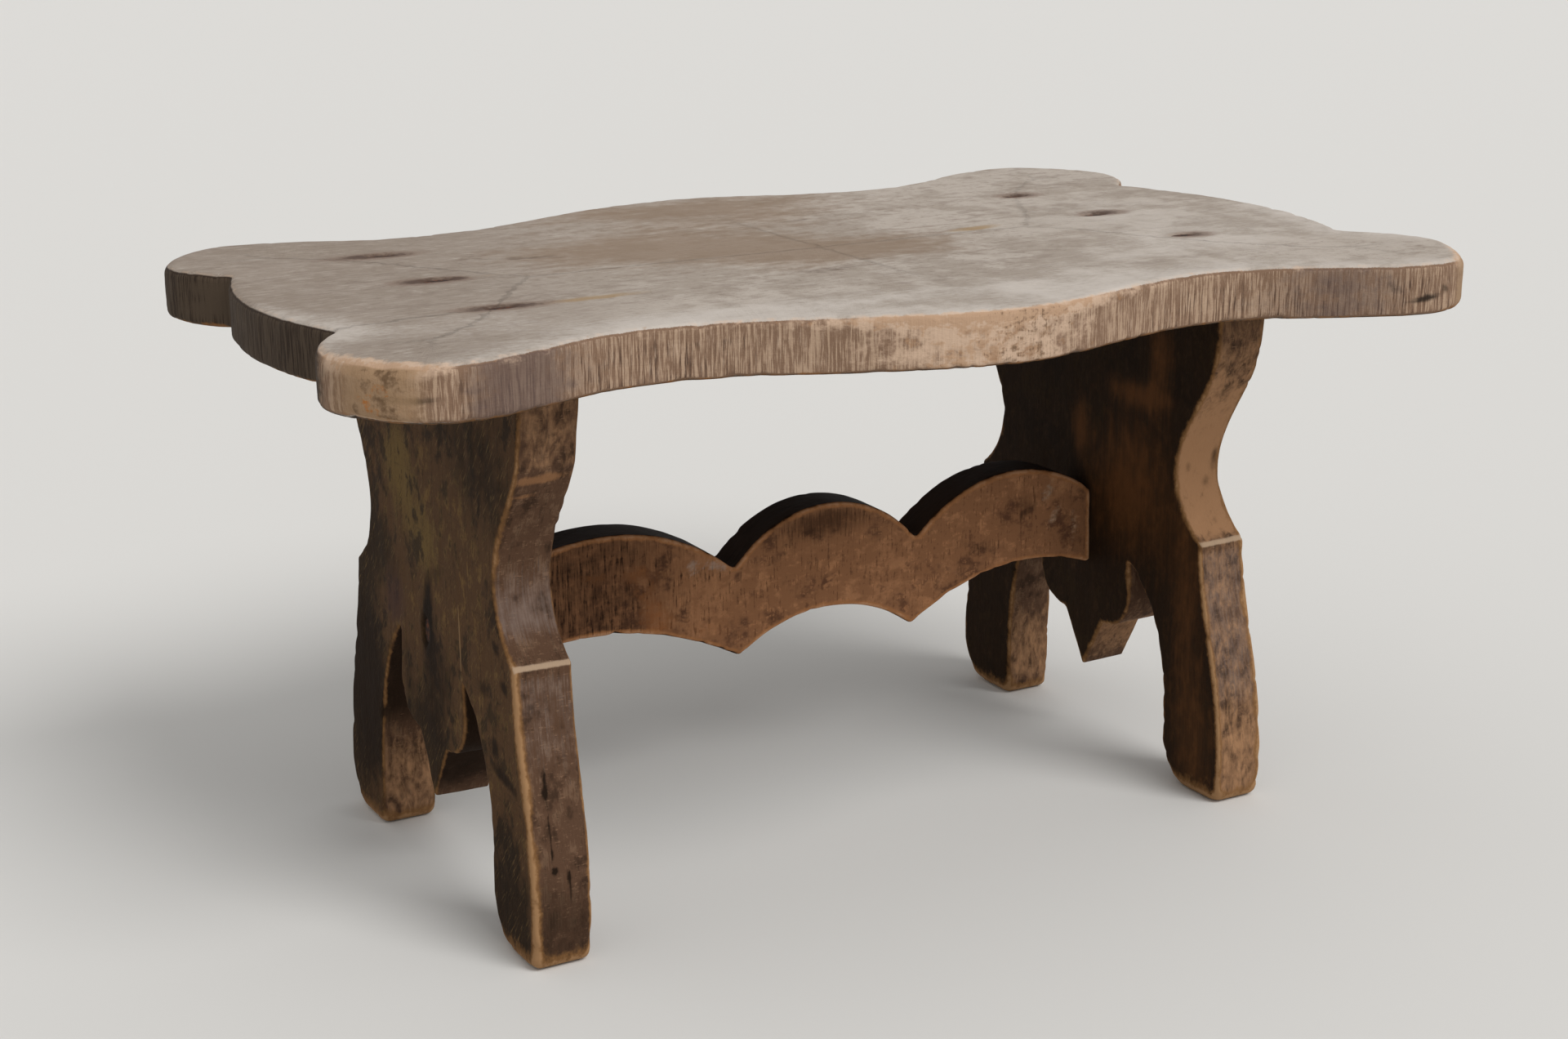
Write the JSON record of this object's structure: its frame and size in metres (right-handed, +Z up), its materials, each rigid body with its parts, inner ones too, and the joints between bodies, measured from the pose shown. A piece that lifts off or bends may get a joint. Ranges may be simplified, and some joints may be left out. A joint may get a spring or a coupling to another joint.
{
  "type": "stool",
  "caption": "Low primitive wooden stool: scalloped seat board nailed to two lyre-shaped leg boards with cut-out feet, joined by a shaped stretcher.",
  "frame": {"origin": "on the floor under the middle of the seat", "axes": "+X along the seat and the stretcher to the right, +Y across the seat to the back, +Z up"},
  "size_m": [0.3943, 0.2596, 0.2],
  "materials": {
    "seat_wood": "scrubbed bare wood, bleached grey-beige, worn peach-brown at the edges",
    "leg_wood": "aged olive-brown bare wood with honey-tan worn edges",
    "stretcher_wood": "aged warm brown bare wood with orange-tan worn edges",
    "nail_iron": "rusted iron"
  },
  "bodies": {
    "root": {"seat_board": "seat_wood", "left_leg": "leg_wood", "right_leg": "leg_wood", "stretcher": "stretcher_wood", "left_seat_nail_1": "nail_iron", "left_seat_nail_2": "nail_iron", "left_seat_nail_3": "nail_iron", "left_stretcher_nail": "nail_iron", "right_seat_nail_1": "nail_iron", "right_seat_nail_2": "nail_iron", "right_seat_nail_3": "nail_iron", "right_stretcher_nail": "nail_iron"}
  },
  "joints": []
}
